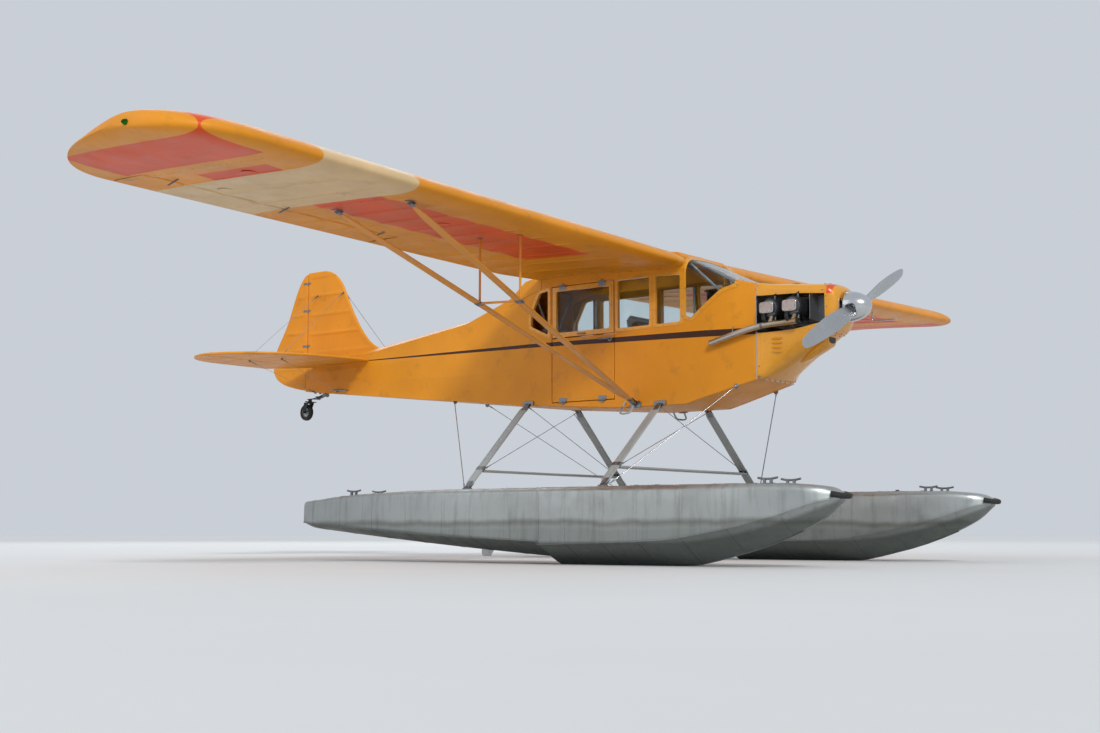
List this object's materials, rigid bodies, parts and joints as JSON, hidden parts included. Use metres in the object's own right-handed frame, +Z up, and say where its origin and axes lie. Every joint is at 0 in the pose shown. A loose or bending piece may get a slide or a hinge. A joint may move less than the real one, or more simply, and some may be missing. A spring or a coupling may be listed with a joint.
{
  "type": "floatplane",
  "caption": "High-wing strut-braced two-seat light aeroplane on twin floats, with an open engine, turning propeller, moving control surfaces, side door and water rudder.",
  "frame": {"origin": "on the floor, under the middle of the box of the aircraft standing on its float keels", "axes": "+X to the nose, +Y to the port side, +Z up"},
  "size_m": [7.11, 10.74, 2.8797],
  "materials": {
    "yellow_fabric": "satin",
    "red_fabric": "satin",
    "yellow_metal": "gloss",
    "bare_metal": "polished",
    "float_metal": "satin",
    "dark_metal": "satin",
    "painted_tube": "satin",
    "exhaust_metal": "satin",
    "clear_sheet": "gloss",
    "seat_cloth": "matte",
    "rubber": "matte",
    "panel_black": "matte"
  },
  "bodies": {
    "airframe": {"cabin_side_left": "yellow_fabric", "cabin_side_right": "yellow_fabric", "cabin_floor": "yellow_fabric", "cabin_roof": "yellow_fabric", "front_deck": "yellow_metal", "windshield": "clear_sheet", "skylight": "clear_sheet", "side_glass_left": "clear_sheet", "side_glass_right": "clear_sheet", "rear_fuselage": "yellow_fabric", "firewall": "bare_metal", "upper_cowling": "yellow_metal", "lower_cowling": "yellow_metal", "nose_bowl": "bare_metal", "engine_block": "dark_metal", "cylinders_left": "dark_metal", "cylinders_right": "dark_metal", "exhaust_left": "exhaust_metal", "exhaust_right": "exhaust_metal", "instrument_panel": "panel_black", "front_seat_frame": "painted_tube", "front_seat_cushion": "seat_cloth", "front_seat_back_pad": "seat_cloth", "rear_seat_frame": "painted_tube", "rear_seat_cushion": "seat_cloth", "rear_seat_back_pad": "seat_cloth", "control_sticks": "panel_black", "wing_left": "yellow_fabric", "wing_right": "yellow_fabric", "wing_struts_left": "yellow_metal", "wing_struts_right": "yellow_metal", "float_frame_front": "painted_tube", "float_frame_rear": "painted_tube", "float_left": "float_metal", "float_right": "float_metal", "float_deck_left": "float_metal", "float_deck_right": "float_metal", "water_rudder_bracket": "dark_metal", "fin": "yellow_fabric", "stabilizer_left": "yellow_fabric", "stabilizer_right": "yellow_fabric", "tailwheel_spring": "dark_metal"},
    "propeller": {"propeller": "bare_metal", "spinner": "bare_metal"},
    "aileron_left": {"aileron_left": "yellow_fabric"},
    "aileron_right": {"aileron_right": "yellow_fabric"},
    "elevators": {"elevators": "yellow_fabric"},
    "rudder": {"rudder": "yellow_fabric"},
    "tailwheel_fork": {"tailwheel_fork": "dark_metal"},
    "tailwheel": {"tailwheel": "rubber"},
    "door_lower": {"door_lower": "yellow_fabric"},
    "door_upper": {"door_upper": "yellow_fabric", "door_glass": "clear_sheet"},
    "water_rudder_post": {"water_rudder_post": "dark_metal"},
    "water_rudder_blade": {"water_rudder_blade": "bare_metal"}
  },
  "joints": [
    {"name": "propeller_spin", "type": "hinge", "parent": "airframe", "child": "propeller", "pos_m": [3.031, 0, 1.97], "axis": [1, 0, 0], "continuous": true},
    {"name": "aileron_left_hinge", "type": "hinge", "parent": "airframe", "child": "aileron_left", "pos_m": [0.377, 2.35, 2.49378], "axis": [0, 0.9998, 0.022], "range_deg": [-20, 20]},
    {"name": "aileron_right_hinge", "type": "hinge", "parent": "airframe", "child": "aileron_right", "pos_m": [0.377, -2.35, 2.49378], "axis": [0, 0.9998, -0.022], "range_deg": [-20, 20]},
    {"name": "elevator_hinge", "type": "hinge", "parent": "airframe", "child": "elevators", "pos_m": [-2.925, 0, 1.89], "axis": [0, 1, 0], "range_deg": [-25, 32]},
    {"name": "rudder_hinge", "type": "hinge", "parent": "airframe", "child": "rudder", "pos_m": [-3.073, 0, 2.21], "axis": [0, 0, 1], "range_deg": [-28, 28]},
    {"name": "tailwheel_steer", "type": "hinge", "parent": "airframe", "child": "tailwheel_fork", "pos_m": [-3.011, 0, 1.55], "axis": [0, 0, 1], "range_deg": [-28, 28]},
    {"name": "tailwheel_spin", "type": "hinge", "parent": "tailwheel_fork", "child": "tailwheel", "pos_m": [-3.057, 0, 1.438], "axis": [0, 1, 0], "continuous": true},
    {"name": "lower_door_hinge", "type": "hinge", "parent": "airframe", "child": "door_lower", "pos_m": [0.667, -0.357, 1.336], "axis": [1, 0, 0], "range_deg": [0, 170]},
    {"name": "upper_door_hinge", "type": "hinge", "parent": "airframe", "child": "door_upper", "pos_m": [0.667, -0.357, 2.336], "axis": [-1, 0, 0], "range_deg": [0, 82]},
    {"name": "water_rudder_steer", "type": "hinge", "parent": "airframe", "child": "water_rudder_post", "pos_m": [-1.516, 1.31, 0.38], "axis": [0, 0, 1], "range_deg": [-30, 30]},
    {"name": "water_rudder_lift", "type": "hinge", "parent": "water_rudder_post", "child": "water_rudder_blade", "pos_m": [-1.552, 1.31, 0.38], "axis": [0, 1, 0], "range_deg": [0, 75]}
  ],
  "couplings": [
    {"joint": "aileron_right_hinge", "follows": "aileron_left_hinge", "ratio": -1},
    {"joint": "tailwheel_steer", "follows": "rudder_hinge", "ratio": 1}
  ]
}
